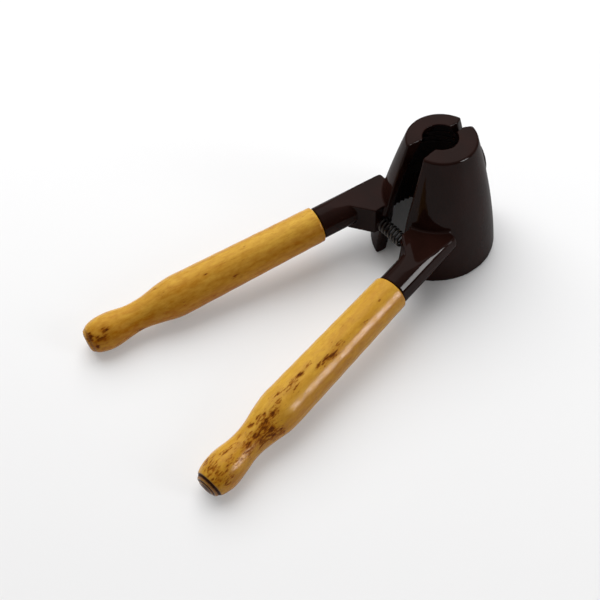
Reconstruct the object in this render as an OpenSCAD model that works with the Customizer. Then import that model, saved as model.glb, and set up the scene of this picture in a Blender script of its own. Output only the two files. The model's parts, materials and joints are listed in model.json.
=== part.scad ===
// Handheld nutcracker: a bell-shaped head split into two hinged jaws, with an arm and a turned
// wooden handle on each, and a coil spring that pushes the arms apart.
// The jaws are drawn open, as the spring holds them. The table plane is z = 0 and +X is the right jaw.

/* [Head] */
// Height of the bell from the table to its flat rim
head_h = 58; // [50:1:66]
// Outer diameter of the bell at the table
base_d = 54.6; // [50:0.2:60]
// Outer diameter of the bell at the rim
rim_d = 29.2; // [26:0.2:32]
// Inward lean of the outer wall at the table, as a slope
base_lean = 0.11; // [0.06:0.01:0.16]
// Inward lean of the outer wall at the rim, as a slope
rim_lean = 0.30; // [0.24:0.01:0.36]
// Radius of the rounded outer edge of the rim
rim_round = 1; // [0.6:0.1:2]
// Wall between the nut cavity and the outside at the table
foot_wall = 5.3; // [4.5:0.1:7]
// Wall between the nut cavity and the outside at the top of the flutes
chest_wall = 4.8; // [4.4:0.1:6]
// Wall between the nut cavity and the outside at the rim
rim_wall = 7.4; // [6.5:0.1:8.5]

/* [Teeth] */
// Number of upright flutes cut in each jaw
flute_count = 21; // [11:2:23]
// Angle from one flute to the next
flute_pitch = 6.2; // [5.8:0.1:6.4]
// Width of a flute at the table
flute_d = 1.9; // [1.2:0.1:2.2]
// Height at which the flutes end
flute_top = 20; // [16:1:24]
// Number of gripping grooves round the throat
groove_count = 3; // [1:1:3]
// Height of the lowest groove
groove_z = 42; // [41:0.5:44]
// Step from one groove to the next
groove_step = 4.6; // [3.5:0.1:5]
// Depth of a groove
groove_depth = 0.7; // [0.4:0.1:1]
// Half of a groove's width for each millimetre of its depth
groove_flare = 1.4; // [1:0.1:1.6]

/* [Split] */
// How far the split and the cavity lie to the left of the bell's middle
split_shift = 0.8; // [0:0.1:1]
// Angle by which each jaw stands open from the middle plane
open_angle = 7; // [6:0.1:9]
// Depth of the bevel along the front edges of the split
front_bevel = 1.2; // [0.8:0.1:2]
// Depth of the bevel along the back edges of the split
back_bevel = 3.6; // [2:0.1:4.2]
// Angle of the bevels to the split plane
bevel_angle = 36; // [25:1:45]

/* [Hinge] */
// Distance of the hinge line inside the bell's foot
hinge_inset = 3.7; // [3:0.1:4.2]
// Radius of the hinge knuckles
knuckle_r = 4.3; // [4:0.1:5]
// Height of the lowest knuckle's foot above the table
knuckle_foot = 1; // [0.5:0.1:3]
// Height at which the middle knuckle begins
knuckle_low = 9; // [7:0.5:11]
// Height at which the middle knuckle ends
knuckle_high = 18.5; // [15:0.5:20]
// Gap between two knuckles
knuckle_gap = 0.3; // [0.2:0.05:0.6]
// Free space round a knuckle where the other jaw passes it
knuckle_clear = 0.45; // [0.3:0.05:0.8]
// How far the hinge ear stands off the bell
ear_standoff = 4; // [3.6:0.1:4.6]
// Height at which the ear begins to fade into the bell
ear_fade = 20; // [18:0.5:24]
// Height at which the ear ends
ear_top = 48.5; // [46:0.5:52]
// Diameter of the hinge pin
pin_d = 4; // [3:0.1:4.4]
// Running clearance of the pin in the middle knuckle, on the radius
pin_clear = 0.05; // [0.02:0.01:0.1]
// Height of the top of the pin
pin_top = 25; // [22:0.5:26]
// How far the pin's lower end lies inside the lowest knuckle
pin_sink = 0.3; // [0.1:0.1:1]

/* [Arms] */
// Diameter of the round arm
arm_d = 14; // [12:0.2:14.6]
// Angle of the arm away from the middle plane
arm_splay = 10; // [8:0.1:12]
// Angle by which the arm falls towards the table
arm_droop = 6.5; // [5.5:0.1:7.5]
// Distance of the arm's line inside the bell's foot, beside the bell's axis
arm_inset = 11.56; // [10.4:0.1:12.6]
// Length from the bell's axis to the arm's rounded end
arm_start = 11.5; // [9:0.5:13]
// Length from the bell's axis to the shoulder that the wood meets
arm_shoulder = 46.7; // [44:0.1:52]
// Radius of the arm's rounded end
arm_round = 1.5; // [1:0.5:5]
// Height of the flat top of the web and of the arm beside it
web_top = 26.5; // [25:0.1:28]
// Height of the underside of the web
web_foot = 12.5; // [10:0.1:14]
// Distance of the web's spring face from the middle plane
web_face = 8.2; // [7.8:0.1:9]
// Distance of the web's front corner inside the front of the bell's foot
web_inset = 0.5; // [-1:0.1:0.8]
// Length along the arm at which the web's front edge runs out
web_run_out = 34.5; // [32:0.5:38]

/* [Spring] */
// Distance of the spring's axis behind the web's front corner
spring_inset = 3.1; // [2.8:0.1:3.8]
// Height of the spring's axis
spring_z = 17.5; // [17:0.1:20]
// Radius of the coils at the middle of the wire
coil_r = 2.6; // [2.4:0.1:2.8]
// Diameter of the spring wire
wire_d = 1; // [0.8:0.05:1.1]
// Number of coils
coil_count = 7; // [5:1:7]
// Radius of the bend into the spring's straight ends
tail_bend = 0.85; // [0.7:0.05:1]
// Free space round the spring where it passes the bell's wall, on the radius
spring_clear = 0.4; // [0.3:0.05:0.8]
// Clearance between the spring and the pegs that hold it, on the radius
peg_clear = 0.4; // [0.3:0.05:0.6]
// Length of a peg
peg_len = 3; // [2:0.1:3.5]

/* [Handles] */
// Length of a wooden handle
grip_len = 108.4; // [100:0.2:116]
// Gap between the arm's shoulder and the wood
grip_gap = 0.3; // [0.1:0.1:0.6]
// Diameter of the wood at the arm
grip_d = 15.8; // [15.4:0.1:17]
// Radius of the rounded edge at the arm
grip_round = 0.9; // [0.4:0.1:1.5]
// Diameter of the belly
belly_d = 17.6; // [17:0.1:19]
// Length from the arm to the belly
belly_at = 66; // [58:0.5:70]
// Diameter of the neck
neck_d = 12.2; // [11.6:0.1:13.5]
// Length from the arm to the neck
neck_at = 86; // [82:0.5:90]
// Diameter of the end knob
knob_d = 15; // [14:0.1:16]
// Length from the arm to the knob's widest place
knob_at = 99; // [95:0.5:100]
// Diameter of the flat at the tip
tip_d = 6.4; // [4:0.1:8]

/* [Tangs] */
// Diameter of the steel tang inside the wood
tang_d = 8; // [6:0.1:8.4]
// Depth of the tang in the arm
tang_in_arm = 24; // [16:0.5:26]
// Depth of the tang in the wood
tang_in_wood = 72; // [50:0.5:80]
// Room past the end of the tang in its hole
tang_room = 1; // [0.5:0.1:3]
// Clearance of the tang in its holes, filled by glue, on the radius
tang_clear = 0.03; // [0.01:0.01:0.08]

/* [Hidden] */
$fn = 96;

// A length that reaches past everything, for cutting
reach = 2 * (arm_shoulder + grip_len + head_h);
base_r = base_d / 2;
rim_r = rim_d / 2;
mouth_r = base_r - foot_wall;
throat_r = rim_r - rim_wall;
chest_r = bell_r(flute_top) - chest_wall;
hinge_y = base_r - hinge_inset;
arm_x = base_r - arm_inset;
web_front = base_r - web_inset;
spring_front = web_front - spring_inset;
arm_r = arm_d / 2;
wire_r = wire_d / 2;
wall_steps = 20;
dome_steps = 10;
round_steps = 6;
ear_steps = 8;
grip_steps = 10;
bevel_spans = 2;
flute_sides = 24;
// A small overlap, so that the web's front edge sinks into the arm
edge_step = 0.2;
// How far inside the arm's line the web's outer face begins
web_heel = 1.2;
// How far inside the bell's wall the hinge ear's top ends
ear_sink = 0.6;

enamel = [0.17, 0.10, 0.09];
wood = [0.80, 0.57, 0.24];
steel = [0.62, 0.62, 0.60];
wire = [0.30, 0.29, 0.28];

// Radius of the bell's outer wall at a height: a cubic from base to rim with a given slope at each end
function bell_r(z) =
    let (u = z / head_h)
    base_r * (1 + 2 * u) * pow(1 - u, 2) - base_lean * head_h * u * pow(1 - u, 2)
    + rim_r * u * u * (3 - 2 * u) + rim_lean * head_h * u * u * (1 - u);

// Radius of the nut cavity at a height: a cone along the flutes, then a quarter wave up to the throat
function cavity_r(z) =
    z < flute_top ? mouth_r + (chest_r - mouth_r) * z / flute_top
    : throat_r + (chest_r - throat_r) * cos(90 * (z - flute_top) / (head_h - flute_top));

// How far the hinge ear stands off the bell at a height: level, then a quarter ellipse into the wall
function ear_off(z) =
    z < ear_fade ? ear_standoff
    : (ear_standoff + ear_sink) * sqrt(1 - pow(min(1, (z - ear_fade) / (ear_top - ear_fade)), 2))
      - ear_sink;

function ease(u) = (1 - cos(180 * u)) / 2;

// Radius of the wooden handle at a length from the arm: a slow swell to the belly, a wave down to
// the neck and up to the knob, and a quarter ellipse to the flat tip
function grip_r(t) =
    t < grip_round ? grip_d / 2 - grip_round + sqrt(pow(grip_round, 2) - pow(grip_round - t, 2))
    : t < belly_at ? grip_d / 2 + (belly_d - grip_d) / 2 * (t - grip_round) / (belly_at - grip_round)
    : t < neck_at ? belly_d / 2 + (neck_d - belly_d) / 2 * ease((t - belly_at) / (neck_at - belly_at))
    : t < knob_at ? neck_d / 2 + (knob_d - neck_d) / 2 * ease((t - neck_at) / (knob_at - neck_at))
    : tip_d / 2 + (knob_d - tip_d) / 2
      * sqrt(max(0, 1 - pow((t - knob_at) / (grip_len - knob_at), 2)));

function spaced(from, to, steps) = [for (i = [0 : steps]) from + (to - from) * i / steps];

// Lengths at which the handle's outline has a point; the steps close up towards both ends
grip_stations = concat(
    [for (i = [0 : round_steps]) grip_round * (1 - cos(90 * i / round_steps))],
    [belly_at],
    [for (t = spaced(belly_at, neck_at, grip_steps)) if (t > belly_at) t],
    [for (t = spaced(neck_at, knob_at, grip_steps)) if (t > neck_at) t],
    [for (i = [1 : grip_steps]) knob_at + (grip_len - knob_at) * sin(90 * i / grip_steps)]
);

// The arm's line starts beside the bell's axis, at the height that lets the knobs touch the table
grip_start = arm_shoulder + grip_gap;
arm_z = max([for (t = grip_stations) (grip_start + t) * sin(arm_droop) + grip_r(t) * cos(arm_droop)]);
forward = cos(arm_splay) * cos(arm_droop);
sideways = sin(arm_splay) * cos(arm_droop);
function arm_point(s) = [arm_x + s * sideways, -s * forward];

// The part's origin lies at the middle of its footprint
back_end = hinge_y + knuckle_r;
front_end = max([for (t = grip_stations)
                 (grip_start + t) * forward + grip_r(t) * sqrt(1 - forward * forward)]);
middle_y = (back_end - front_end) / 2;

pin_r = pin_d / 2;
pin_foot = knuckle_foot + pin_sink;
peg_r = coil_r - wire_r - peg_clear;

// The spring's wire: a helix between the webs, a quarter bend at each end and a straight tail
rings_per_coil = 8;
bend_rings = 3;
tail_len = wire_d;
helix_half = web_face - tail_len - tail_bend;
helix_rings = coil_count * rings_per_coil;
function helix_angle(i) = 360 * i / rings_per_coil + 90;
function helix_point(i) =
    let (a = helix_angle(i))
    [helix_half * (2 * i / helix_rings - 1), coil_r * cos(a), coil_r * sin(a)];
function spring_end(side) =
    let (i = side > 0 ? helix_rings : 0, a = helix_angle(i), along = side * [0, -sin(a), cos(a)])
    concat(
        [for (k = [1 : bend_rings])
            let (b = 90 * k / bend_rings)
            helix_point(i) + tail_bend * (sin(b) * along + [side * (1 - cos(b)), 0, 0])],
        [helix_point(i) + tail_bend * along + [side * (tail_bend + tail_len), 0, 0]]);
function reversed(list) = [for (i = [len(list) - 1 : -1 : 0]) list[i]];
spring_path = concat(
    reversed(spring_end(-1)),
    [for (i = [0 : helix_rings]) helix_point(i)],
    spring_end(1));

// Least gap of the spring's wire to itself, between rings at least half a coil apart
spring_gap = min([for (i = [0 : len(spring_path) - 1])
                  for (j = [i + rings_per_coil / 2 : 1 : len(spring_path) - 1])
                  norm(spring_path[i] - spring_path[j])]) - wire_d;
echo(spring_gap = spring_gap, middle_y = middle_y, arm_z = arm_z);

module placed() {
    translate([0, -middle_y, 0]) children();
}

// Moves what is drawn along +Z to the right arm's line
module on_arm() {
    translate([arm_x, 0, arm_z]) rotate([0, 90 + arm_droop, arm_splay - 90]) children();
}

// The right-hand side of the split, for a jaw that stands open
module open_side() {
    translate([0, hinge_y, 0]) rotate(open_angle) translate([0, -hinge_y, 0]) children();
}

module bell() {
    rim_mid = [bell_r(head_h - rim_round) - rim_round, head_h - rim_round];
    wall = [for (z = spaced(0, head_h - rim_round, wall_steps)) [bell_r(z), z]];
    rim = [for (a = spaced(0, 90, round_steps)) if (a > 0) rim_mid + rim_round * [cos(a), sin(a)]];
    rotate_extrude() polygon(concat([[0, 0]], wall, rim, [[0, head_h]]));
}

// The nut cavity: a dome that is open at both ends, upright flutes, and grooves round the throat
module cavity() {
    over = 1;
    slope = atan((mouth_r - chest_r) / flute_top);
    flute_r = flute_d / 2;
    dome = [for (z = spaced(flute_top, head_h, dome_steps)) [cavity_r(z), z]];
    foot = [[0, -over], [cavity_r(-over), -over]];
    rotate_extrude() polygon(concat(foot, dome, [[throat_r, head_h + over], [0, head_h + over]]));
    for (i = [0 : flute_count - 1])
        rotate((i - (flute_count - 1) / 2) * flute_pitch)
            translate([mouth_r, 0, 0])
                rotate([0, -slope, 0])
                    translate([0, 0, -over])
                        cylinder(h = flute_top / cos(slope) + over, r1 = flute_r,
                                 r2 = flute_r * chest_r / mouth_r, $fn = flute_sides);
    for (i = [0 : groove_count - 1])
        rotate_extrude()
            polygon([for (k = [-1 : 1])
                     let (z = groove_z + i * groove_step + groove_flare * k * groove_depth)
                     [cavity_r(z) + (k == 0 ? groove_depth : -groove_depth), z]]);
}

// Moves the split and the cavity off the bell's middle; side is 1 on the right jaw, -1 on the left
module off_middle(side) {
    translate([-side * split_shift, 0, 0]) children();
}

// Everything on the right of the split plane
module right_side(side) {
    off_middle(side) open_side() translate([0, -reach / 2, -reach / 2]) cube(reach);
}

// Wedges along the bell's sloping edge, front or back, which bevel the split in straight spans
module bevel_wedges(side, facing, depth) {
    grow = 2 * depth * tan(bevel_angle);
    off_middle(side) open_side()
        for (i = [0 : bevel_spans - 1]) {
            foot = head_h * i / bevel_spans;
            top = head_h * (i + 1) / bevel_spans;
            tilt = atan((bell_r(foot) - bell_r(top)) / (top - foot));
            over = (i == 0 || i == bevel_spans - 1) ? head_h / bevel_spans : 0;
            translate([0, facing * bell_r(foot), foot])
                rotate([facing * tilt, 0, 0])
                    translate([0, 0, i == 0 ? -over : 0])
                        linear_extrude((top - foot) / cos(tilt) + over)
                            polygon([[0, -facing * depth], [grow, facing * depth], [-grow, facing * depth]]);
        }
}

// The hinge ear between two heights: a barrel on the hinge line and a tongue into the right jaw's wall
module ear(side, from, to) {
    profile = [for (z = spaced(0, ear_fade, ear_steps)) [bell_r(z) + ear_off(z), z]];
    fade = [for (a = spaced(0, 90, ear_steps)) if (a > 0)
            let (z = ear_fade + (ear_top - ear_fade) * sin(a)) [bell_r(z) + ear_off(z), z]];
    intersection() {
        rotate_extrude() polygon(concat([[0, 0]], profile, fade, [[0, ear_top]]));
        translate([0, 0, from]) union() {
            translate([0, hinge_y, 0]) cylinder(h = to - from, r = knuckle_r);
            intersection() {
                translate([-knuckle_r, hinge_y - 2 * knuckle_r, 0])
                    cube([2 * knuckle_r, 2 * knuckle_r, to - from]);
                right_side(side);
            }
        }
    }
}

// Room for the other jaw's knuckle between two heights
module knuckle_room(from, to) {
    translate([0, hinge_y, from]) cylinder(h = to - from, r = knuckle_r + knuckle_clear);
}

// The round arm, the web that joins it to the bell under one flat top, and the peg for the spring
module arm_and_web() {
    web_end = arm_point(web_run_out);
    rise = web_top - arm_z + web_run_out * sin(arm_droop);
    edge = web_end - [sqrt(max(0, pow(arm_r, 2) - pow(rise, 2))) + edge_step, 0];
    root = arm_point(arm_start) - [web_heel, 0];
    difference() {
        union() {
            on_arm() rotate_extrude() arm_outline();
            translate([0, 0, web_foot])
                linear_extrude(web_top - web_foot)
                    polygon([[web_face, root.y], [web_face, -web_front], edge, root]);
        }
        translate([-reach / 2, -reach / 2, web_top]) cube(reach);
    }
    translate([web_face, -spring_front, spring_z]) rotate([0, -90, 0]) cylinder(h = peg_len, r = peg_r);
}

// Room for the spring in the bell's wall, as far as the web that closes it
module spring_room() {
    translate([0, -spring_front, spring_z])
        rotate([0, 90, 0])
            cylinder(h = web_face + wire_d, r = coil_r + wire_r + spring_clear);
}

module arm_outline() {
    translate([0, arm_start]) square([arm_r - arm_round, arm_round]);
    translate([0, arm_start + arm_round]) square([arm_r, arm_shoulder - arm_start - arm_round]);
    intersection() {
        translate([arm_r - arm_round, arm_start + arm_round]) circle(arm_round);
        translate([arm_r - arm_round, arm_start]) square([arm_round, 2 * arm_round]);
    }
}

module tang_hole() {
    on_arm()
        translate([0, 0, arm_shoulder - tang_in_arm - tang_room])
            cylinder(h = tang_in_arm + 2 * tang_room + grip_gap, r = tang_d / 2 + tang_clear);
}

// What both jaws share, drawn on the right: half of the bell, the arm and the web, and the cavity cut out
module jaw_body(side) {
    difference() {
        union() {
            difference() {
                intersection() {
                    bell();
                    right_side(side);
                }
                bevel_wedges(side, -1, front_bevel);
                bevel_wedges(side, 1, back_bevel);
                spring_room();
            }
            arm_and_web();
        }
        off_middle(side) cavity();
        tang_hole();
    }
}

// The right jaw has the lowest and the highest knuckle, which hold the pin
module right_jaw() {
    color(enamel) placed() difference() {
        union() {
            difference() {
                jaw_body(1);
                knuckle_room(knuckle_low, knuckle_high);
            }
            difference() {
                union() {
                    ear(1, knuckle_foot, knuckle_low);
                    ear(1, knuckle_high, ear_top);
                }
                off_middle(1) cavity();
            }
        }
        translate([0, hinge_y, 0]) cylinder(h = pin_top, r = pin_r);
    }
}

// The left jaw has the middle knuckle, which turns on the pin
module left_jaw() {
    color(enamel) placed() difference() {
        mirror([1, 0, 0]) union() {
            difference() {
                jaw_body(-1);
                knuckle_room(0, knuckle_low + knuckle_gap);
                knuckle_room(knuckle_high - knuckle_gap, ear_top);
            }
            difference() {
                ear(-1, knuckle_low + knuckle_gap, knuckle_high - knuckle_gap);
                off_middle(-1) cavity();
            }
        }
        translate([0, hinge_y, 0]) cylinder(h = pin_top, r = pin_r + pin_clear);
    }
}

module hinge_pin() {
    color(steel) placed()
        translate([0, hinge_y, pin_foot]) cylinder(h = pin_top - pin_foot, r = pin_r);
}

module tang() {
    on_arm()
        translate([0, 0, arm_shoulder - tang_in_arm])
            cylinder(h = tang_in_arm + grip_gap + tang_in_wood, r = tang_d / 2);
}

module handle() {
    outline = [for (t = grip_stations) [grip_r(t), grip_start + t]];
    on_arm() difference() {
        rotate_extrude() polygon(concat([[0, grip_start]], outline, [[0, grip_start + grip_len]]));
        translate([0, 0, grip_start - tang_room])
            cylinder(h = tang_in_wood + 2 * tang_room, r = tang_d / 2 + tang_clear);
    }
}

module right_tang() {
    color(steel) placed() tang();
}

module left_tang() {
    color(steel) placed() mirror([1, 0, 0]) tang();
}

module right_handle() {
    color(wood) placed() handle();
}

module left_handle() {
    color(wood) placed() mirror([1, 0, 0]) handle();
}

// One ring of the spring's tube: six points round the wire, square to the path
tube_sides = 6;
function unit(v) = v / norm(v);
function tube_ring(i) =
    let (last = len(spring_path) - 1,
         along = i == 0 || i == last ? [1, 0, 0]
                 : unit(unit(spring_path[i + 1] - spring_path[i])
                        + unit(spring_path[i] - spring_path[i - 1])),
         radial = [0, spring_path[i].y, spring_path[i].z],
         out = unit(radial - (radial * along) * along),
         across = cross(along, out))
    [for (k = [0 : tube_sides - 1])
        spring_path[i] + wire_r * (cos(360 * k / tube_sides) * out + sin(360 * k / tube_sides) * across)];

module return_spring() {
    points = [for (i = [0 : len(spring_path) - 1]) each tube_ring(i)];
    last = (len(spring_path) - 1) * tube_sides;
    sides = [for (i = [0 : len(spring_path) - 2]) for (k = [0 : tube_sides - 1])
             let (a = i * tube_sides + k, b = i * tube_sides + (k + 1) % tube_sides)
             each [[a, a + tube_sides, b], [b, a + tube_sides, b + tube_sides]]];
    caps = [for (k = [1 : tube_sides - 2]) each [[0, k, k + 1], [last, last + k + 1, last + k]]];
    color(wire) placed()
        translate([0, -spring_front, spring_z]) polyhedron(points, concat(sides, caps));
}

right_jaw();
left_jaw();
right_tang();
left_tang();
right_handle();
left_handle();
hinge_pin();
return_spring();
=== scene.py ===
# %% [markdown]
# # A handheld nutcracker
# The tool is a bell-shaped iron head split into two jaws, a stub arm on each jaw with a turned wooden
# handle, and a small coil spring that pushes the arms apart. The packed solids already have the right
# size and place. This lesson dresses them: soft enamel on the castings, wood with its grain and its
# wear, and a spring with round wire.

# %% Load the packed model
import json
import math

import bmesh
import bpy
import numpy as np
from mathutils import Matrix


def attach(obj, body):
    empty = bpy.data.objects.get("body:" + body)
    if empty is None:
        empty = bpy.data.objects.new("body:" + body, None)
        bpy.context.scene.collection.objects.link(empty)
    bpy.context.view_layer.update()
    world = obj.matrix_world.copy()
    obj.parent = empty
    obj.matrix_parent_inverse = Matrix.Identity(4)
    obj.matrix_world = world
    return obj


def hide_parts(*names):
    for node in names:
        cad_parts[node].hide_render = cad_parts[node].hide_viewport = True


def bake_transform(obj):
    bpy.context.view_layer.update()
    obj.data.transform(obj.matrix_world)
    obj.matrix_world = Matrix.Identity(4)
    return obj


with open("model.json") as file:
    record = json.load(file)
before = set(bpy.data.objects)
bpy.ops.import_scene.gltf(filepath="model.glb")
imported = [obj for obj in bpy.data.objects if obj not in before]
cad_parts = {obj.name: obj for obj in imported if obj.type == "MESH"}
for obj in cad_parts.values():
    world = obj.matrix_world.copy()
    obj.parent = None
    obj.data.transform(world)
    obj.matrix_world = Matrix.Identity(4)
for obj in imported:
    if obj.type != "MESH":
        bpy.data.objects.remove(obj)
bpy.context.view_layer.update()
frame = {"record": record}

mm = 0.001
hinge = frame["record"]["behaviour"]["joints"][0]["pos_m"]

# %% [markdown]
# ## Shader maths as plain expressions
# A finish is a sum of small patterns, and a chain of Math nodes is hard to read. One small class wraps
# a node's output, so that `1 - worn * 0.5` adds the Math nodes by itself. Every other kind of node comes
# from one method, which applies the node's settings before it fills its sockets.

# %% A wire that does arithmetic
class Wire:
    """One output of a node. Arithmetic between wires and numbers adds Math nodes to the same tree."""

    def __init__(self, tree, socket):
        self.tree = tree
        self.socket = socket

    @staticmethod
    def from_node(tree, kind, settings, sockets, output=0):
        """Adds a node, applies its settings, then fills or links its sockets, and wraps one output."""
        node = tree.nodes.new(kind)
        for name, value in settings.items():
            setattr(node, name, value)
        for name, value in sockets.items():
            if isinstance(value, Wire):
                tree.links.new(value.socket, node.inputs[name])
            else:
                node.inputs[name].default_value = value
        return Wire(tree, node.outputs[output])

    def math(self, operation, first, second):
        """One Math node between two wires or numbers."""
        sockets = {0: first, 1: second}
        return Wire.from_node(self.tree, "ShaderNodeMath", {"operation": operation}, sockets)

    def __add__(self, other):
        return self.math("ADD", self, other)

    __radd__ = __add__

    def __sub__(self, other):
        return self.math("SUBTRACT", self, other)

    def __rsub__(self, other):
        return self.math("SUBTRACT", other, self)

    def __mul__(self, other):
        return self.math("MULTIPLY", self, other)

    __rmul__ = __mul__

    def step(self, low, high):
        """Nothing below low, one above high, and a smooth rise between them."""
        sockets = {"Value": self, "From Min": low, "From Max": high}
        settings = {"interpolation_type": "SMOOTHSTEP"}
        return Wire.from_node(self.tree, "ShaderNodeMapRange", settings, sockets)

    def colours(self, at_zero, at_one):
        """A blend of two colours with this wire as the factor."""
        settings = {"data_type": "RGBA"}
        return Wire.from_node(self.tree, "ShaderNodeMix", settings, {0: self, 6: at_zero, 7: at_one}, 2)


print("operators:", [name for name in vars(Wire) if name.startswith("__r")])


# %% Helpers that every finish shares
def principled(name, constants):
    """A new material whose shader has these constant values, with its tree and its shader node."""
    material = bpy.data.materials.new(name)
    material.use_nodes = True
    shader = material.node_tree.nodes["Principled BSDF"]
    for socket, value in constants.items():
        shader.inputs[socket].default_value = value
    return material, material.node_tree, shader


def connect(tree, shader, **wires):
    """Links wires to the shader's sockets; Base_Color stands for Base Color."""
    for name, wire in wires.items():
        tree.links.new(wire.socket, shader.inputs[name.replace("_", " ")])


def object_place(tree):
    """Where a point lies on the object, in metres."""
    return Wire.from_node(tree, "ShaderNodeTexCoord", {}, {}, "Object")


def stretched(place, along):
    """The same place with each axis multiplied, which draws a pattern out along an axis."""
    sockets = {0: place, 1: along}
    return Wire.from_node(place.tree, "ShaderNodeVectorMath", {"operation": "MULTIPLY"}, sockets)


def noise(place, size, detail=3.0, roughness=0.5):
    """Soft noise whose patches are about this size in metres."""
    sockets = {"Vector": place, "Scale": 1 / size, "Detail": detail, "Roughness": roughness}
    return Wire.from_node(place.tree, "ShaderNodeTexNoise", {}, sockets, "Fac")


def bump(height, depth):
    """A bump whose full height is this depth in metres."""
    sockets = {"Height": height, "Distance": depth, "Strength": 1.0}
    return Wire.from_node(height.tree, "ShaderNodeBump", {}, sockets)


def colour(red, green, blue):
    """A colour given as the eye reads it, 0 to 255, turned into the shader's linear light."""
    share = np.array([red, green, blue]) / 255
    linear = np.where(share <= 0.04045, share / 12.92, ((share + 0.055) / 1.055) ** 2.4)
    return (*linear.tolist(), 1.0)


print("golden wood in linear light:", [round(part, 3) for part in colour(205, 155, 68)])

# %% [markdown]
# ## The enamelled jaws
# Each jaw is one iron casting: half of the bell, the arm and the web between them, dipped in thick dark
# enamel. Enamel rounds every edge and fills every inner corner a little, which the exact solid doesn't
# show. A bevel modifier fails on edges this crowded, so a copy of the solid is merged, rebuilt from
# small cells and smoothed. That rounds the corners everywhere at once, as a poured coat does. The gloss is
# the shader's coat alone, at a low weight, because old enamel mirrors far less than new glass does, even
# at a flat angle.

# %% Enamel finish
def enamel_finish():
    """Near-black brown gloss: slow shifts in colour, a faint ripple, and duller dust in patches."""
    constants = {"Specular IOR Level": 0.0, "Coat Roughness": 0.045, "Coat IOR": 1.5}
    material, tree, shader = principled("enamel", constants)
    place = object_place(tree)
    cloud = noise(place, 14 * mm, 4.0)
    dust = noise(place, 3.5 * mm, 6.0, 0.65)
    ripple = noise(place, 1.6 * mm, 1.0)
    tone = cloud.step(0.35, 0.65).colours(colour(30, 15, 11), colour(36, 18, 14))
    speckled = (dust.step(0.60, 0.80) * 0.35).colours(tone, colour(52, 42, 38))
    gloss = 0.25 - dust * 0.09
    connect(tree, shader, Base_Color=speckled, Coat_Weight=gloss, Normal=bump(ripple, 0.02 * mm))
    return material


enamel = enamel_finish()
print("enamel nodes:", len(enamel.node_tree.nodes))

# %% Jaws with a coat of enamel
cell = 0.42 * mm
merge_distance = 0.001 * mm


def coated_copy(node, name, finish):
    """A merged copy of a solid, rebuilt from cells and smoothed, so that its edges turn soft."""
    source = bpy.data.objects[node]
    mesh = source.data.copy()
    shell = bmesh.new()
    shell.from_mesh(mesh)
    bmesh.ops.remove_doubles(shell, verts=shell.verts, dist=merge_distance)
    shell.to_mesh(mesh)
    shell.free()
    draft = bpy.data.objects.new(name + "_draft", mesh)
    bpy.context.scene.collection.objects.link(draft)
    cells = draft.modifiers.new("cells", "REMESH")
    cells.mode = "VOXEL"
    cells.voxel_size = cell
    soften = draft.modifiers.new("soften", "SMOOTH")
    soften.factor = 0.5
    soften.iterations = 5
    depsgraph = bpy.context.evaluated_depsgraph_get()
    coated = bpy.data.meshes.new_from_object(draft.evaluated_get(depsgraph))
    bpy.data.objects.remove(draft)
    coated.materials.clear()
    coated.materials.append(finish)
    coated.shade_smooth()
    piece = bpy.data.objects.new(name, coated)
    bpy.context.scene.collection.objects.link(piece)
    return piece


for side in ("right", "left"):
    jaw = coated_copy(side + "_jaw", side + "_jaw_enamelled", enamel)
    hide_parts(side + "_jaw")
    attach(jaw, side + "_side")
    jaw.data.calc_loop_triangles()
    print(jaw.name, len(jaw.data.loop_triangles), "triangles")

# %% [markdown]
# ## The turned handles
# The handles are turned on a lathe, so each is a profile spun about its own line: a slow swell to a
# belly, a neck, a knob and a worn end. A spin in edit mode would do, but a grid of points computed with
# numpy also lets each point carry its place along the wood, how worn it is, and how near it lies to the
# lit upper left, which the finish paints paler as painted light. The finish reads those values, so the
# grain runs along the handle and the stains stay where hands have left them.

# %% The handle's profile
bell_y = hinge[1] - 23.6 * mm
arm_from_bell = 15.74 * mm
arm_height = 24.0992 * mm
splay = math.radians(10)
droop = math.radians(6.5)
wood_start = 47.0 * mm
wood_length = 108.4 * mm
end_round = 0.9 * mm
start_r, belly_r, neck_r, knob_r, tip_r = 7.9 * mm, 8.8 * mm, 6.1 * mm, 7.5 * mm, 3.2 * mm
belly_at, neck_at, knob_at = 66 * mm, 86 * mm, 99 * mm
bore_r, bore_depth = 4.03 * mm, 73 * mm


def ease(share):
    """A rise from 0 to 1 that starts and ends level: half a cosine wave."""
    return (1 - np.cos(np.pi * share)) / 2


def wood_radius(t):
    """Radius at a length from the arm: a rounded start, a straight swell to the belly, half waves down
    to the neck and up to the knob, and a quarter ellipse to the tip."""
    back = np.clip(end_round - t, 0, end_round)
    start = start_r - end_round + np.sqrt(end_round**2 - back**2)
    swell = start_r + (belly_r - start_r) * (t - end_round) / (belly_at - end_round)
    waist = belly_r + (neck_r - belly_r) * ease((t - belly_at) / (neck_at - belly_at))
    rise = neck_r + (knob_r - neck_r) * ease((t - neck_at) / (knob_at - neck_at))
    over = np.clip((t - knob_at) / (wood_length - knob_at), 0, 1)
    cap = tip_r + (knob_r - tip_r) * np.sqrt(1 - over**2)
    stretches = [t < end_round, t < belly_at, t < neck_at, t < knob_at]
    return np.select(stretches, [start, swell, waist, rise], cap)


start_stations, grip_stations, cap_stations = 9, 310, 48
start_angle = np.linspace(0, np.pi / 2, start_stations)
cap_angle = np.linspace(0, np.pi / 2, cap_stations)[1:]
outer_t = np.concatenate([
    end_round * (1 - np.cos(start_angle)),
    np.linspace(end_round, knob_at, grip_stations)[1:],
    knob_at + (wood_length - knob_at) * np.sin(cap_angle),
])
print("stations along the wood:", len(outer_t))


# %% Faces of a spun or swept grid
sharp_corner = math.radians(40)


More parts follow.
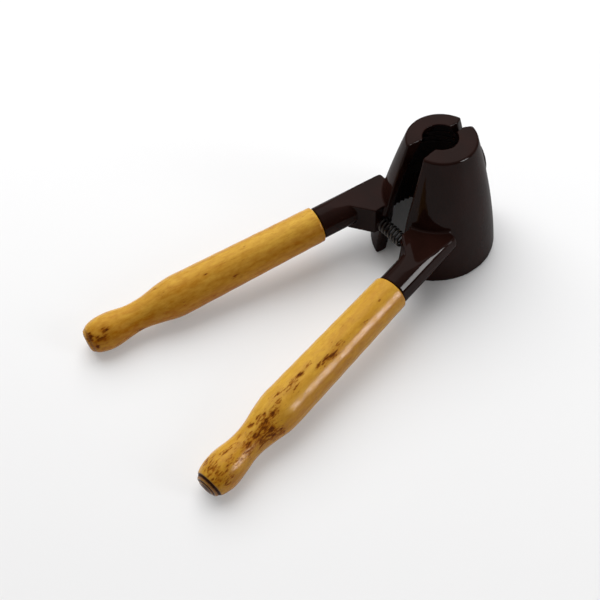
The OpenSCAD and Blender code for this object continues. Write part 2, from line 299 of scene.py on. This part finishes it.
def ring_faces(rings, around):
    """Quads from each ring to the next, and a fan of triangles to the pole that closes either end."""
    ring = np.arange(rings - 1)[:, None] * around
    here = np.arange(around)
    after = (here + 1) % around
    corners = [ring + here, ring + around + here, ring + around + after, ring + after]
    quads = np.stack(corners, axis=-1).reshape(-1, 4)
    first_pole = np.full(around, rings * around)
    end_ring = (rings - 1) * around
    start_fan = np.stack([first_pole, here, after], axis=-1)
    end_fan = np.stack([first_pole + 1, end_ring + after, end_ring + here], axis=-1)
    return quads.tolist() + start_fan.tolist() + end_fan.tolist()


def new_piece(name, points, faces, finish):
    """A mesh object at the origin, shaded smooth with its sharp corners kept."""
    mesh = bpy.data.meshes.new(name)
    mesh.from_pydata(points.tolist(), [], faces)
    mesh.materials.append(finish)
    mesh.shade_smooth()
    mesh.set_sharp_from_angle(angle=sharp_corner)
    piece = bpy.data.objects.new(name, mesh)
    bpy.context.scene.collection.objects.link(piece)
    return piece


def keep_value(piece, name, kind, values):
    """Stores one value or vector a point on the mesh, for the finish to read."""
    attribute = piece.data.attributes.new(name, kind, "POINT")
    field = "vector" if kind == "FLOAT_VECTOR" else "value"
    attribute.data.foreach_set(field, np.ascontiguousarray(values, dtype=np.float32).ravel())


print("faces of three rings of four:", len(ring_faces(3, 4)))

# %% [markdown]
# ## Stains and wear on the wood
# The near handle is stained most round its neck and knob, where the lacquer has worn off and dirt has
# got into the grain. Each stain is a soft oval: where it lies along the wood in mm, its angle from the
# top in degrees, half its length and half its width in mm, and how dense it is. The finish breaks the
# ovals up with noise, so they read as specks and streaks.

# %% Stains, by handle
right_stains = [
    (9.8, 16, 1.4, 0.6, 0.8), (20.5, 27, 3.0, 1.0, 0.35), (27, -10, 4.0, 1.2, 0.30),
    (35, 20, 3.5, 1.8, 0.65), (39.5, 25, 3.5, 1.6, 0.9), (43, 21, 3.5, 1.3, 1.0), (46.5, 18, 2.5, 0.9, 0.9),
    (50, -3, 2.5, 0.9, 0.8), (54, -2, 4.0, 1.0, 1.0), (58, 0, 3.5, 1.5, 0.8), (62, 5, 4.5, 2.4, 0.65),
    (65, -8, 3.5, 1.8, 0.6), (60, 12, 4.0, 1.8, 0.5), (68, 5, 4.0, 2.5, 0.60),
    (72.7, 16, 4.0, 1.8, 1.0), (77, -6, 2.2, 1.3, 0.95), (80.7, -11, 1.8, 1.2, 0.95),
    (75, 2, 2.5, 1.5, 0.7), (77, 22, 4.5, 3.5, 0.85), (78, 45, 4.5, 3.5, 0.9), (77.5, 63, 3.5, 2.8, 0.9),
    (82, 25, 3.0, 2.0, 1.0), (82, 50, 3.5, 3.2, 0.9), (74.5, 70, 3.0, 2.2, 0.75), (84, 8, 3.0, 1.6, 0.7),
    (87, 24, 3.5, 2.0, 0.85), (88.5, 42, 3.5, 2.4, 0.65), (89.8, 4, 2.4, 1.3, 0.7),
    (86, -20, 3.0, 1.0, 0.6), (94, -11, 4.0, 1.0, 0.8), (95.8, 16, 2.5, 1.5, 0.7),
    (98, 27, 3.0, 1.8, 0.6), (93, 40, 3.0, 1.2, 0.6), (102.4, -5, 3.5, 3.5, 0.75),
    (103.3, 30, 3.5, 3.0, 0.65), (100.2, 62, 4.0, 3.0, 0.65), (101, -35, 4.0, 3.0, 0.60),
]
left_stains = [
    (42.5, 63, 1.5, 0.6, 1.0), (53.1, 21, 1.1, 0.4, 0.8), (74.4, -21, 1.0, 0.5, 0.9),
    (86.9, 106, 3.0, 0.6, 0.9), (106.3, 27, 1.6, 2.2, 1.3), (99.6, 33, 2.2, 1.8, 0.9),
    (101.6, 53, 2.2, 1.8, 0.9), (105.3, 73, 1.2, 1.4, 1.0), (72, 15, 3.0, 1.5, 0.25),
    (103.6, 45, 2.0, 1.5, 0.8), (66, 60, 3.0, 2.0, 0.2),
]


def stained(t, angle, radius, stains):
    """How stained each point is: the densest of the ovals' bell curves, with arc length across."""
    where = np.array(stains, dtype=float).T[:, None, None, :]
    at, turn, half_length, half_width, density = where
    along = (t[..., None] / mm - at) / half_length
    apart = (angle[..., None] - np.radians(turn) + np.pi) % (2 * np.pi) - np.pi
    across = apart * radius[..., None] / mm / half_width
    return (density * np.exp(-(along**2 + across**2))).max(axis=-1)


print("stains:", len(right_stains), "right,", len(left_stains), "left")

# %% [markdown]
# ## Lacquered wood
# The wood is a pale golden hardwood under clear lacquer. Its colour comes from noises drawn out along the
# grain: broad bands, fine fibres, soft mottling and short dark pores. The upper left of each handle is
# painted paler as painted light, and the side away from it deeper as painted shade. The lacquer is the
# shader's coat. It follows the mottling, so that a gleam breaks up as it does on old varnish, and it thins
# where the wood is stained. A weak tinted reflection under it warms the gleam. The far handle is the same
# wood with its deep tone painted darker, as painted shade, and it has less lacquer.

# %% Wood finish
stain_brown, stain_dark = colour(132, 66, 4), colour(76, 32, 3)
end_grain, grime = colour(124, 82, 46), colour(40, 20, 10)


def kept(tree, name, output="Fac"):
    """A value or vector that the mesh keeps at each point, as a wire."""
    return Wire.from_node(tree, "ShaderNodeAttribute", {"attribute_name": name}, {}, output)


def wood_finish(name, pale, deep, shine):
    """Golden wood: bands and fibres along the third axis of the grain place, pores, and stains. Shine is
    the lacquer's greatest weight."""
    constants = {"Specular IOR Level": 0.1, "Specular Tint": (1, 0.5, 0.28, 1), "Coat Roughness": 0.26}
    material, tree, shader = principled(name, constants)
    place = kept(tree, "grain_place", "Vector")
    stain, worn_end, lit_side = kept(tree, "stain"), kept(tree, "worn_end"), kept(tree, "lit_side")
    band = noise(stretched(place, (1, 1, 0.06)), 5 * mm, 3.0)
    fibre = noise(stretched(place, (1, 1, 0.04)), 0.7 * mm, 4.0, 0.6)
    pore = noise(stretched(place, (1, 1, 0.18)), 0.55 * mm, 2.0)
    fleck = noise(stretched(place, (1, 1, 0.28)), 0.75 * mm, 2.0, 0.6)
    smear = noise(stretched(place, (1, 1, 0.5)), 3.0 * mm, 3.0)
    mottle = noise(stretched(place, (1, 1, 0.45)), 1.7 * mm, 4.0, 0.6)
    grain = band.step(0.3, 0.7) * 0.36 + fibre * 0.34 + mottle.step(0.3, 0.7) * 0.32
    # Painted light and shade: the lit upper left is painted paler, the side away from it deeper.
    tone = (grain + 0.24 - lit_side.step(0.3, 0.95) * 0.42).colours(pale, deep)
    pored = (pore.step(0.62, 0.76) * 0.30).colours(tone, stain_brown)
    shade = (stain * smear * 0.9).colours(pored, stain_brown)
    speck = (stain * 0.8 + fleck * 1.9 - 1.24).step(0.02, 0.32)
    core = (stain * 0.8 + fleck * 1.9 - 1.48).step(0.0, 0.34)
    marked = (core * 0.9).colours((speck * 0.75).colours(shade, stain_brown), stain_dark)
    aged = worn_end.step(0.05, 0.50).colours(marked, end_grain)
    grimy = (worn_end * (0.7 + fleck * 0.6)).step(0.40, 0.80)
    final = grimy.colours(aged, grime)
    rough = 0.20 + fibre * 0.14 + speck * 0.2 + grimy * 0.2
    lacquer = (1 - speck * 0.9) * (1 - grimy) * (0.2 + mottle.step(0.3, 0.7) * 0.8) * shine
    relief = fibre * 0.6 + fleck * 0.5 + mottle * 0.6 - speck * 0.8
    connect(tree, shader, Base_Color=final, Roughness=rough, Coat_Weight=lacquer)
    connect(tree, shader, Normal=bump(relief, 0.09 * mm))
    return material


golden = wood_finish("golden_wood", colour(208, 163, 62), colour(172, 112, 4), 0.42)
# Painted shade: the far handle is the same wood as the near one, with its deep tone painted darker for the
# shade it lies in.
far_wood_shaded = wood_finish("far_wood_painted_shade", colour(210, 166, 68), colour(161, 98, 2), 0.18)
print("wood nodes:", len(golden.node_tree.nodes), "and", len(far_wood_shaded.node_tree.nodes))

# %% Where a handle lies, and how its end is worn
outer_groove_r, inner_groove_r, groove_half = 5.5 * mm, 3.9 * mm, 0.48 * mm
middle_wear = 0.8


def handle_axes(sign):
    """Start of the wood, the direction along it, its upward direction and the one towards +X."""
    along = np.array([sign * math.sin(splay) * math.cos(droop), -math.cos(splay) * math.cos(droop),
                      -math.sin(droop)])
    up = np.array([0, 0, 1]) - along[2] * along
    up /= np.linalg.norm(up)
    start = np.array([sign * arm_from_bell, bell_y, arm_height]) + wood_start * along
    return start, along, up, np.cross(up, along)


def worn_rings(radius):
    """How deeply the end is worn at each radius: two turned grooves as bell curves, and a rough middle."""
    outer = np.exp(-(((radius - outer_groove_r) / groove_half) ** 2))
    inner = np.exp(-(((radius - inner_groove_r) / groove_half) ** 2))
    middle = np.clip((tip_r - radius) / mm, 0, middle_wear)
    return np.maximum(np.maximum(outer, inner), middle)


print("right handle starts at, in mm:", np.round(handle_axes(1)[0] / mm, 1).tolist())

# %% Handles on their arms
around = 168
turn = np.arange(around) * 2 * np.pi / around
worn_from, worn_full, groove_depth, least_wear = 105.4 * mm, 106.8 * mm, 0.5 * mm, 0.35
chatter, chatter_lobes, chatter_twist = 0.03 * mm, 3, 70
# The turn of the side that is painted paler as painted light: the lit upper left.
lit_side_turn = math.radians(-50)
grain_up, grain_side = 30 * mm, 50 * mm


def turned_handle(name, sign, stains, end_wear, finish):
    """The profile spun about the handle's line: up the bore, over the start face, along the outside and
    over the tip. A slight wave, 3 lobes round and twisted along the wood, stands for hand turning."""
    bore_t = np.array([bore_depth, bore_depth, 0, 0])
    bore_radius = np.array([bore_r * 0.5, bore_r, bore_r, (bore_r + start_r - end_round) / 2])
    face_t = np.array([wood_length])
    face_radius = np.array([tip_r * 0.5])
    t = np.concatenate([bore_t, outer_t, face_t])[:, None] + 0 * turn
    radius = np.concatenate([bore_radius, wood_radius(outer_t), face_radius])[:, None] + 0 * turn
    angle = 0 * t + turn
    wave = np.sin(chatter_lobes * angle + chatter_twist * t / wood_length)
    hand_turned = chatter * wave * np.clip(t / end_round - 2, 0, 1)
    radius = radius + np.where(radius > bore_r * 1.2, hand_turned, 0)
    near_end = np.clip((t - worn_from) / (worn_full - worn_from), 0, 1)
    sunk = t - groove_depth * end_wear * near_end * worn_rings(radius)
    start, along, up, side = handle_axes(sign)
    spoke = np.cos(angle)[..., None] * up + np.sin(angle)[..., None] * side
    rings = start + sunk[..., None] * along + radius[..., None] * spoke
    poles = np.stack([start + bore_depth * along, start + wood_length * along])
    points = np.concatenate([rings.reshape(-1, 3), poles])
    handle = new_piece(name, points, ring_faces(len(t), around), finish)
    middle = np.array([grain_up, grain_side * sign, 0])
    local = middle + np.stack([radius * np.cos(angle), radius * np.sin(angle), t], axis=-1)
    pole_places = middle + np.array([[0, 0, bore_depth], [0, 0, wood_length]])
    keep_value(handle, "grain_place", "FLOAT_VECTOR", np.concatenate([local.reshape(-1, 3), pole_places]))
    stain = stained(t, angle, radius, stains)
    keep_value(handle, "stain", "FLOAT", np.append(stain.ravel(), [0, 0]))
    # Painted light: one on the lit upper left, falling to nothing on the far side, for the finish to paint
    # paler.
    lit_side = (1 + np.cos(angle - lit_side_turn)) / 2
    keep_value(handle, "lit_side", "FLOAT", np.append(lit_side.ravel(), [0, 0]))
    worn = end_wear * near_end * np.maximum(least_wear, worn_rings(radius))
    keep_value(handle, "worn_end", "FLOAT", np.append(worn.ravel(), [0, end_wear]))
    return handle


for side, sign, stains, end_wear, finish in (
    ("right", 1, right_stains, 1.0, golden),
    ("left", -1, left_stains, 0.3, far_wood_shaded),
):
    handle = turned_handle(side + "_handle_turned", sign, stains, end_wear, finish)
    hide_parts(side + "_handle")
    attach(handle, side + "_side")
    print(handle.name, len(handle.data.vertices), "points")

# %% [markdown] ## The return spring The spring is one length of wire: a helix with a quarter bend into
# a short straight tail at each end.

# %% Steel finishes
def steel_finish(name, pale, dark, rough, lines):
    """Bare metal with fine drawn lines along one axis and slow dull patches."""
    material, tree, shader = principled(name, {"Metallic": 1.0})
    place = object_place(tree)
    drawn = noise(stretched(place, lines), 0.25 * mm, 3.0)
    dull = noise(place, 4 * mm, 4.0)
    tone = (drawn * 0.5 + dull * 0.5).step(0.3, 0.7).colours(dark, pale)
    connect(tree, shader, Base_Color=tone, Roughness=rough + dull * 0.15, Normal=bump(drawn, 0.01 * mm))
    return material


pin_steel = steel_finish("drawn_steel", colour(176, 174, 170), colour(128, 126, 122), 0.28, (1, 1, 0.05))
spring_steel = steel_finish("spring_wire", colour(98, 94, 90), colour(52, 48, 45), 0.30, (0.2, 1, 1))
for node in ("hinge_pin", "right_tang", "left_tang"):
    carried = bpy.data.objects[node]
    carried.data.materials.clear()
    carried.data.materials.append(pin_steel)
print("steel on the pin and both tangs")

# %% Spring of round wire
spring_middle = np.array([0, bell_y - 23.7 * mm, 17.5 * mm])
coil_r, wire_r, coils = 2.6 * mm, 0.5 * mm, 7
tail_bend, tail_length = 0.85 * mm, 1.0 * mm
helix_half = 6.35 * mm


def spring_path():
    """The wire's middle line from -X to +X: tail, quarter bend, helix, quarter bend, tail."""
    share = np.linspace(0, 1, coils * 28 + 1)
    winding = 2 * np.pi * coils * share + np.pi / 2
    helix = np.stack([helix_half * (2 * share - 1), coil_r * np.cos(winding), coil_r * np.sin(winding)], -1)
    bend = np.linspace(0, np.pi / 2, 9)[1:]
    rise = tail_bend * (1 - np.cos(bend))
    swing = -tail_bend * np.sin(bend)
    quarter_turn = np.stack([rise, swing, 0 * bend], -1)
    tail = np.linspace(0, tail_length, 4)[1:]
    straight = np.stack([tail_bend + tail, 0 * tail - tail_bend, 0 * tail], -1)
    end = helix[-1] + np.concatenate([quarter_turn, straight])
    begin = (end * [-1, -1, 1])[::-1]
    return np.concatenate([begin, helix, end])


def swept_wire(path, radius, sides=14):
    """Rings of points round a path: each ring is square to it, with its first point outwards."""
    tangent = np.gradient(path, axis=0)
    tangent /= np.linalg.norm(tangent, axis=1, keepdims=True)
    outward = path * [0, 1, 1]
    outward -= (outward * tangent).sum(axis=1, keepdims=True) * tangent
    outward /= np.linalg.norm(outward, axis=1, keepdims=True)
    across = np.cross(outward, tangent)
    angle = np.arange(sides) * 2 * np.pi / sides
    spoke = np.cos(angle)[:, None] * outward[:, None] + np.sin(angle)[:, None] * across[:, None]
    rings = path[:, None] + radius * spoke
    return np.concatenate([rings.reshape(-1, 3), path[[0, -1]]]), ring_faces(len(path), sides)


wire_points, wire_faces = swept_wire(spring_path(), wire_r)
spring = new_piece("return_spring_wound", wire_points + spring_middle, wire_faces, spring_steel)
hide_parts("return_spring")
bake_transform(spring)
print("spring points:", len(wire_points))

# %% [markdown]
# ## Floor, light and camera
# The tool lies on a plain white table, which ends in plain white far away. The table has some light of
# its own, which keeps the handles' shadows pale. A large soft light from the left gives those shadows. A
# small one on the right draws the long gleams on the arms and handles: it is two lights in one direction,
# because the gleams need more of it than the shaded sides do. The sky is brightest above the left, where
# the rim's flat top mirrors it. The camera looks down on the head from the right, as in the photograph.

# %% Floor
floor_half = 4.0
floor_points = np.array([[-1, -1, 0], [1, -1, 0], [1, 1, 0], [-1, 1, 0]]) * floor_half
floor_points[:, 2] = -0.02 * mm


def table_finish():
    """Matt white, painted darker towards the front right as painted shade. A quarter of what shows is its
    own light, less in the head's deep shadow, and far off it is all."""
    material, tree, shader = principled("white_table", {"Roughness": 0.6, "Specular IOR Level": 0.1})
    rays = tree.nodes.new("ShaderNodeLightPath").outputs
    seen = Wire(tree, rays["Is Camera Ray"]) + Wire(tree, rays["Is Glossy Ray"])
    place = object_place(tree)
    toward_front = {0: place, 1: (0.6, -0.8, 0)}
    dot, reach = {"operation": "DOT_PRODUCT"}, {"operation": "DISTANCE"}
    front = Wire.from_node(tree, "ShaderNodeVectorMath", dot, toward_front, "Value")
    to_head = {0: place, 1: (0, bell_y, 0)}
    away = Wire.from_node(tree, "ShaderNodeVectorMath", reach, to_head, "Value")
    # Painted shade: the table's colour darkens towards the front right, where the light falls off.
    tone = front.step(-0.30, 0.40).colours((0.89, 0.89, 0.895, 1), (0.70, 0.695, 0.695, 1))
    connect(tree, shader, Base_Color=seen.colours((0.86, 0.86, 0.86, 1), tone))
    white = Wire.from_node(tree, "ShaderNodeEmission", {}, {"Color": (1, 1, 1, 1)}, "Emission")
    share = seen * (0.02 + away.step(0.03, 0.10) * 0.23 + away.step(0.45, 1.2) * 0.75)
    mixed = {0: share, 1: Wire(tree, shader.outputs["BSDF"]), 2: white}
    surface = Wire.from_node(tree, "ShaderNodeMixShader", {}, mixed, "Shader")
    tree.links.new(surface.socket, tree.nodes["Material Output"].inputs["Surface"])
    return material


floor = new_piece("table", floor_points, [[0, 1, 2, 3]], table_finish())
print("table:", 2 * floor_half, "m wide")


# %% Lights
def soft_light(name, toward, distance, size, power):
    """A rectangular light at a distance in a direction from the frame's origin, turned to face it."""
    lamp = bpy.data.lights.new(name, "AREA")
    lamp.shape = "RECTANGLE"
    lamp.size, lamp.size_y = size
    lamp.energy = power
    light = bpy.data.objects.new(name, lamp)
    direction = np.array(toward) / np.linalg.norm(toward)
    right = np.cross([0, 0, 1], direction)
    right /= np.linalg.norm(right)
    upward = np.cross(direction, right)
    stand = Matrix(np.stack([right, upward, direction], axis=1).tolist()).to_4x4()
    stand.translation = (direction * distance).tolist()
    light.matrix_world = stand
    bpy.context.scene.collection.objects.link(light)
    return light


key = soft_light("key", (-0.52, 0.16, 0.84), 1.4, (1.7, 1.7), 23)
key.visible_glossy = False
gleam_side, gleam_size = (0.771, 0.465, 0.436), (0.28, 0.40)
fill = soft_light("fill", gleam_side, 1.2, gleam_size, 2.5)
fill.visible_glossy = False
gleam = soft_light("gleam", gleam_side, 0.9, gleam_size, 8.4)
gleam.visible_diffuse = False
print("lights:", key.name, fill.name, gleam.name)

# %% Sky
world = bpy.data.worlds.new("pale_sky")
world.use_nodes = True
bpy.context.scene.world = world
sky = world.node_tree
path = sky.nodes.new("ShaderNodeLightPath")
background = sky.nodes["Background"]
seen = Wire(sky, path.outputs["Is Camera Ray"])
looked = Wire.from_node(sky, "ShaderNodeTexCoord", {}, {}, "Generated")
bright_side = {0: looked, 1: (-0.50, 0.33, 0.80)}
facing = Wire.from_node(sky, "ShaderNodeVectorMath", {"operation": "DOT_PRODUCT"}, bright_side, "Value")
sky_level = 0.05 + facing.step(-0.3, 0.9) * 0.30 + facing.step(0.80, 0.97) * 0.85
sky.links.new((sky_level * (1 - seen) + seen).socket, background.inputs["Strength"])
background.inputs["Color"].default_value = (1, 1, 1, 1)
print("sky nodes:", len(sky.nodes))

# %% Camera
camera_data = bpy.data.cameras.new("camera")
camera_data.sensor_width = 36
camera_data.lens = 60.623
camera = bpy.data.objects.new("camera", camera_data)
bpy.context.scene.collection.objects.link(camera)
camera_place = (0.20510, -0.15892, 0.34185)
rightward, upward = (0.6167, 0.7865, -0.0329), (-0.6124, 0.5056, 0.6078)
backward = (0.4946, -0.3547, 0.7934)
stand = Matrix((rightward, upward, backward)).transposed().to_4x4()
stand.translation = camera_place
camera.matrix_world = stand
bpy.context.scene.camera = camera
bpy.context.scene.view_settings.view_transform = "Standard"
print("camera height in mm:", round(camera_place[2] / mm))
